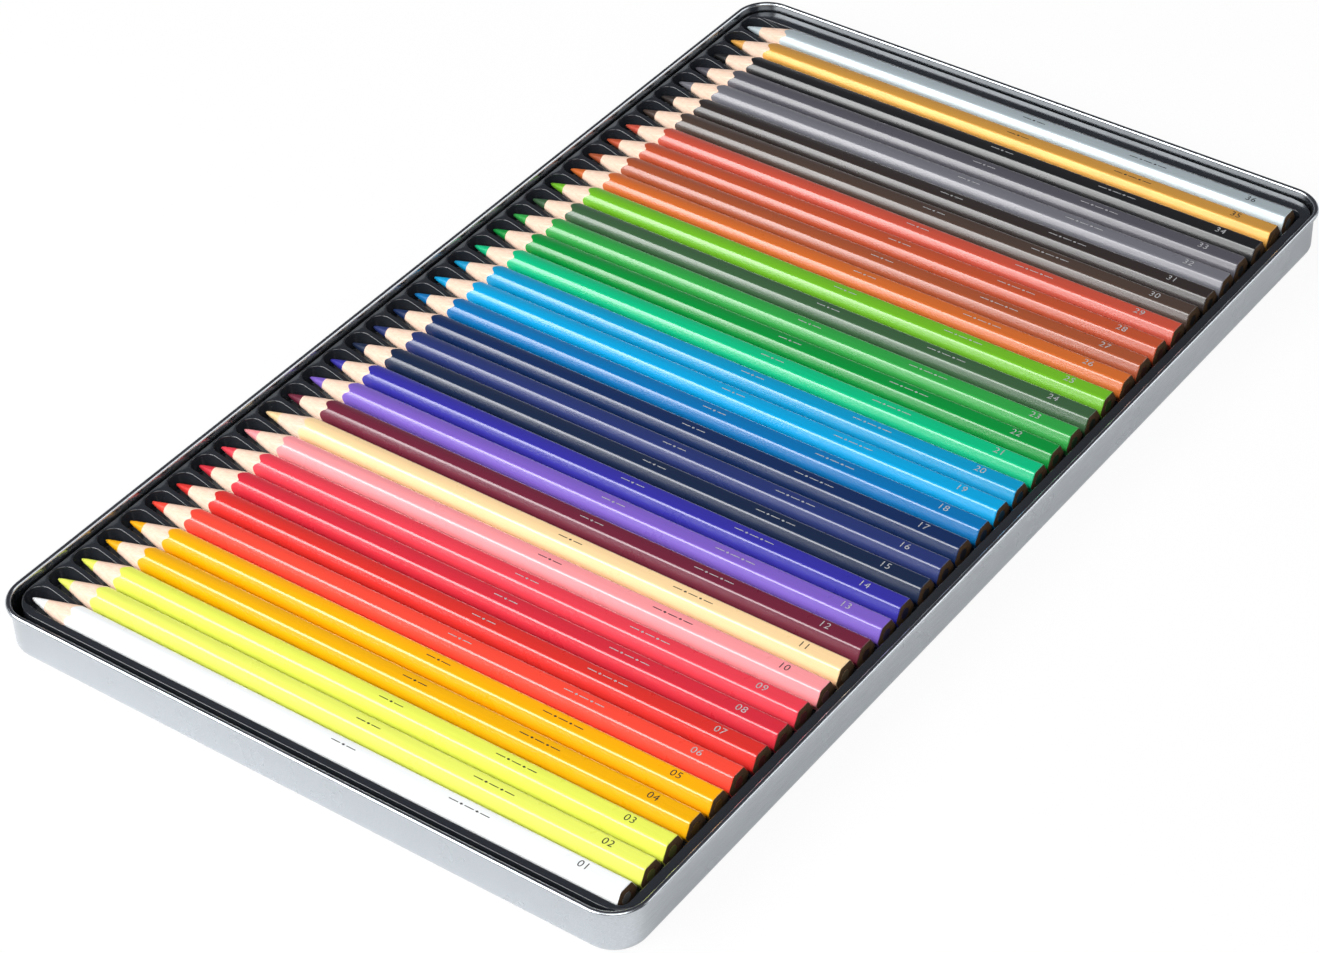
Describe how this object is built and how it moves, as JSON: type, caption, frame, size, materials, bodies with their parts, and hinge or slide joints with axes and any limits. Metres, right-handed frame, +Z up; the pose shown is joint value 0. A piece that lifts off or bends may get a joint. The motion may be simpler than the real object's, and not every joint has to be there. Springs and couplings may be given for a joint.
{
  "type": "colored pencil tin",
  "caption": "Flat pressed metal tin base with a rolled rim, holding a black formed insert and a row of sharpened hexagonal colored pencils, each lying in its own channel.",
  "frame": {"origin": "middle of the tin's underside", "axes": "+X along the row of pencils, from the white one to the silver one; +Y along the pencils, from the blunt ends to the points; +Z up"},
  "size_m": [0.322, 0.186, 0.0135],
  "materials": {
    "tinplate": "satin tinplate, pressed",
    "black_plastic": "glossy black formed sheet",
    "paint_white": "gloss lacquered wood, bare and sharpened at the point",
    "paint_lemon": "gloss lacquered wood, bare and sharpened at the point",
    "paint_yellow": "gloss lacquered wood, bare and sharpened at the point",
    "paint_chrome_yellow": "gloss lacquered wood, bare and sharpened at the point",
    "paint_orange": "gloss lacquered wood, bare and sharpened at the point",
    "paint_vermilion": "gloss lacquered wood, bare and sharpened at the point",
    "paint_red": "gloss lacquered wood, bare and sharpened at the point",
    "paint_crimson": "gloss lacquered wood, bare and sharpened at the point",
    "paint_carmine": "gloss lacquered wood, bare and sharpened at the point",
    "paint_pink": "gloss lacquered wood, bare and sharpened at the point",
    "paint_blush": "gloss lacquered wood, bare and sharpened at the point",
    "paint_magenta": "gloss lacquered wood, bare and sharpened at the point",
    "paint_lilac": "gloss lacquered wood, bare and sharpened at the point",
    "paint_violet": "gloss lacquered wood, bare and sharpened at the point",
    "paint_prussian_blue": "gloss lacquered wood, bare and sharpened at the point",
    "paint_ultramarine": "gloss lacquered wood, bare and sharpened at the point",
    "paint_navy": "gloss lacquered wood, bare and sharpened at the point",
    "paint_mid_blue": "gloss lacquered wood, bare and sharpened at the point",
    "paint_sky_blue": "gloss lacquered wood, bare and sharpened at the point",
    "paint_light_blue": "gloss lacquered wood, bare and sharpened at the point",
    "paint_emerald": "gloss lacquered wood, bare and sharpened at the point",
    "paint_green": "gloss lacquered wood, bare and sharpened at the point",
    "paint_light_green": "gloss lacquered wood, bare and sharpened at the point",
    "paint_grey_green": "gloss lacquered wood, bare and sharpened at the point",
    "paint_moss": "gloss lacquered wood, bare and sharpened at the point",
    "paint_ochre": "gloss lacquered wood, bare and sharpened at the point",
    "paint_brown": "gloss lacquered wood, bare and sharpened at the point",
    "paint_sienna": "gloss lacquered wood, bare and sharpened at the point",
    "paint_indian_red": "gloss lacquered wood, bare and sharpened at the point",
    "paint_umber": "gloss lacquered wood, bare and sharpened at the point",
    "paint_dark_brown": "gloss lacquered wood, bare and sharpened at the point",
    "paint_grey": "gloss lacquered wood, bare and sharpened at the point",
    "paint_dark_grey": "gloss lacquered wood, bare and sharpened at the point",
    "paint_black": "gloss lacquered wood, bare and sharpened at the point",
    "paint_gold": "gloss lacquered wood, bare and sharpened at the point",
    "paint_silver": "gloss lacquered wood, bare and sharpened at the point"
  },
  "bodies": {
    "tin": {"tin_tray": "tinplate"},
    "insert": {"insert_tray": "black_plastic"},
    "pencil_01_white": {"pencil_01_white": "paint_white"},
    "pencil_02_lemon": {"pencil_02_lemon": "paint_lemon"},
    "pencil_03_yellow": {"pencil_03_yellow": "paint_yellow"},
    "pencil_04_chrome_yellow": {"pencil_04_chrome_yellow": "paint_chrome_yellow"},
    "pencil_05_orange": {"pencil_05_orange": "paint_orange"},
    "pencil_06_vermilion": {"pencil_06_vermilion": "paint_vermilion"},
    "pencil_07_red": {"pencil_07_red": "paint_red"},
    "pencil_08_crimson": {"pencil_08_crimson": "paint_crimson"},
    "pencil_09_carmine": {"pencil_09_carmine": "paint_carmine"},
    "pencil_10_pink": {"pencil_10_pink": "paint_pink"},
    "pencil_11_blush": {"pencil_11_blush": "paint_blush"},
    "pencil_12_magenta": {"pencil_12_magenta": "paint_magenta"},
    "pencil_13_lilac": {"pencil_13_lilac": "paint_lilac"},
    "pencil_14_violet": {"pencil_14_violet": "paint_violet"},
    "pencil_15_prussian_blue": {"pencil_15_prussian_blue": "paint_prussian_blue"},
    "pencil_16_ultramarine": {"pencil_16_ultramarine": "paint_ultramarine"},
    "pencil_17_navy": {"pencil_17_navy": "paint_navy"},
    "pencil_18_mid_blue": {"pencil_18_mid_blue": "paint_mid_blue"},
    "pencil_19_sky_blue": {"pencil_19_sky_blue": "paint_sky_blue"},
    "pencil_20_light_blue": {"pencil_20_light_blue": "paint_light_blue"},
    "pencil_21_emerald": {"pencil_21_emerald": "paint_emerald"},
    "pencil_22_green": {"pencil_22_green": "paint_green"},
    "pencil_23_light_green": {"pencil_23_light_green": "paint_light_green"},
    "pencil_24_grey_green": {"pencil_24_grey_green": "paint_grey_green"},
    "pencil_25_moss": {"pencil_25_moss": "paint_moss"},
    "pencil_26_ochre": {"pencil_26_ochre": "paint_ochre"},
    "pencil_27_brown": {"pencil_27_brown": "paint_brown"},
    "pencil_28_sienna": {"pencil_28_sienna": "paint_sienna"},
    "pencil_29_indian_red": {"pencil_29_indian_red": "paint_indian_red"},
    "pencil_30_umber": {"pencil_30_umber": "paint_umber"},
    "pencil_31_dark_brown": {"pencil_31_dark_brown": "paint_dark_brown"},
    "pencil_32_grey": {"pencil_32_grey": "paint_grey"},
    "pencil_33_dark_grey": {"pencil_33_dark_grey": "paint_dark_grey"},
    "pencil_34_black": {"pencil_34_black": "paint_black"},
    "pencil_35_gold": {"pencil_35_gold": "paint_gold"},
    "pencil_36_silver": {"pencil_36_silver": "paint_silver"}
  },
  "joints": [
    {"name": "insert_lift", "type": "slide", "parent": "tin", "child": "insert", "axis": [0, 0, 1], "range_m": [0, 0.03]},
    {"name": "pencil_01_white_lift", "type": "slide", "parent": "insert", "child": "pencil_01_white", "axis": [0, 0, 1], "range_m": [0, 0.03]},
    {"name": "pencil_02_lemon_lift", "type": "slide", "parent": "insert", "child": "pencil_02_lemon", "axis": [0, 0, 1], "range_m": [0, 0.03]},
    {"name": "pencil_03_yellow_lift", "type": "slide", "parent": "insert", "child": "pencil_03_yellow", "axis": [0, 0, 1], "range_m": [0, 0.03]},
    {"name": "pencil_04_chrome_yellow_lift", "type": "slide", "parent": "insert", "child": "pencil_04_chrome_yellow", "axis": [0, 0, 1], "range_m": [0, 0.03]},
    {"name": "pencil_05_orange_lift", "type": "slide", "parent": "insert", "child": "pencil_05_orange", "axis": [0, 0, 1], "range_m": [0, 0.03]},
    {"name": "pencil_06_vermilion_lift", "type": "slide", "parent": "insert", "child": "pencil_06_vermilion", "axis": [0, 0, 1], "range_m": [0, 0.03]},
    {"name": "pencil_07_red_lift", "type": "slide", "parent": "insert", "child": "pencil_07_red", "axis": [0, 0, 1], "range_m": [0, 0.03]},
    {"name": "pencil_08_crimson_lift", "type": "slide", "parent": "insert", "child": "pencil_08_crimson", "axis": [0, 0, 1], "range_m": [0, 0.03]},
    {"name": "pencil_09_carmine_lift", "type": "slide", "parent": "insert", "child": "pencil_09_carmine", "axis": [0, 0, 1], "range_m": [0, 0.03]},
    {"name": "pencil_10_pink_lift", "type": "slide", "parent": "insert", "child": "pencil_10_pink", "axis": [0, 0, 1], "range_m": [0, 0.03]},
    {"name": "pencil_11_blush_lift", "type": "slide", "parent": "insert", "child": "pencil_11_blush", "axis": [0, 0, 1], "range_m": [0, 0.03]},
    {"name": "pencil_12_magenta_lift", "type": "slide", "parent": "insert", "child": "pencil_12_magenta", "axis": [0, 0, 1], "range_m": [0, 0.03]},
    {"name": "pencil_13_lilac_lift", "type": "slide", "parent": "insert", "child": "pencil_13_lilac", "axis": [0, 0, 1], "range_m": [0, 0.03]},
    {"name": "pencil_14_violet_lift", "type": "slide", "parent": "insert", "child": "pencil_14_violet", "axis": [0, 0, 1], "range_m": [0, 0.03]},
    {"name": "pencil_15_prussian_blue_lift", "type": "slide", "parent": "insert", "child": "pencil_15_prussian_blue", "axis": [0, 0, 1], "range_m": [0, 0.03]},
    {"name": "pencil_16_ultramarine_lift", "type": "slide", "parent": "insert", "child": "pencil_16_ultramarine", "axis": [0, 0, 1], "range_m": [0, 0.03]},
    {"name": "pencil_17_navy_lift", "type": "slide", "parent": "insert", "child": "pencil_17_navy", "axis": [0, 0, 1], "range_m": [0, 0.03]},
    {"name": "pencil_18_mid_blue_lift", "type": "slide", "parent": "insert", "child": "pencil_18_mid_blue", "axis": [0, 0, 1], "range_m": [0, 0.03]},
    {"name": "pencil_19_sky_blue_lift", "type": "slide", "parent": "insert", "child": "pencil_19_sky_blue", "axis": [0, 0, 1], "range_m": [0, 0.03]},
    {"name": "pencil_20_light_blue_lift", "type": "slide", "parent": "insert", "child": "pencil_20_light_blue", "axis": [0, 0, 1], "range_m": [0, 0.03]},
    {"name": "pencil_21_emerald_lift", "type": "slide", "parent": "insert", "child": "pencil_21_emerald", "axis": [0, 0, 1], "range_m": [0, 0.03]},
    {"name": "pencil_22_green_lift", "type": "slide", "parent": "insert", "child": "pencil_22_green", "axis": [0, 0, 1], "range_m": [0, 0.03]},
    {"name": "pencil_23_light_green_lift", "type": "slide", "parent": "insert", "child": "pencil_23_light_green", "axis": [0, 0, 1], "range_m": [0, 0.03]},
    {"name": "pencil_24_grey_green_lift", "type": "slide", "parent": "insert", "child": "pencil_24_grey_green", "axis": [0, 0, 1], "range_m": [0, 0.03]},
    {"name": "pencil_25_moss_lift", "type": "slide", "parent": "insert", "child": "pencil_25_moss", "axis": [0, 0, 1], "range_m": [0, 0.03]},
    {"name": "pencil_26_ochre_lift", "type": "slide", "parent": "insert", "child": "pencil_26_ochre", "axis": [0, 0, 1], "range_m": [0, 0.03]},
    {"name": "pencil_27_brown_lift", "type": "slide", "parent": "insert", "child": "pencil_27_brown", "axis": [0, 0, 1], "range_m": [0, 0.03]},
    {"name": "pencil_28_sienna_lift", "type": "slide", "parent": "insert", "child": "pencil_28_sienna", "axis": [0, 0, 1], "range_m": [0, 0.03]},
    {"name": "pencil_29_indian_red_lift", "type": "slide", "parent": "insert", "child": "pencil_29_indian_red", "axis": [0, 0, 1], "range_m": [0, 0.03]},
    {"name": "pencil_30_umber_lift", "type": "slide", "parent": "insert", "child": "pencil_30_umber", "axis": [0, 0, 1], "range_m": [0, 0.03]},
    {"name": "pencil_31_dark_brown_lift", "type": "slide", "parent": "insert", "child": "pencil_31_dark_brown", "axis": [0, 0, 1], "range_m": [0, 0.03]},
    {"name": "pencil_32_grey_lift", "type": "slide", "parent": "insert", "child": "pencil_32_grey", "axis": [0, 0, 1], "range_m": [0, 0.03]},
    {"name": "pencil_33_dark_grey_lift", "type": "slide", "parent": "insert", "child": "pencil_33_dark_grey", "axis": [0, 0, 1], "range_m": [0, 0.03]},
    {"name": "pencil_34_black_lift", "type": "slide", "parent": "insert", "child": "pencil_34_black", "axis": [0, 0, 1], "range_m": [0, 0.03]},
    {"name": "pencil_35_gold_lift", "type": "slide", "parent": "insert", "child": "pencil_35_gold", "axis": [0, 0, 1], "range_m": [0, 0.03]},
    {"name": "pencil_36_silver_lift", "type": "slide", "parent": "insert", "child": "pencil_36_silver", "axis": [0, 0, 1], "range_m": [0, 0.03]}
  ]
}
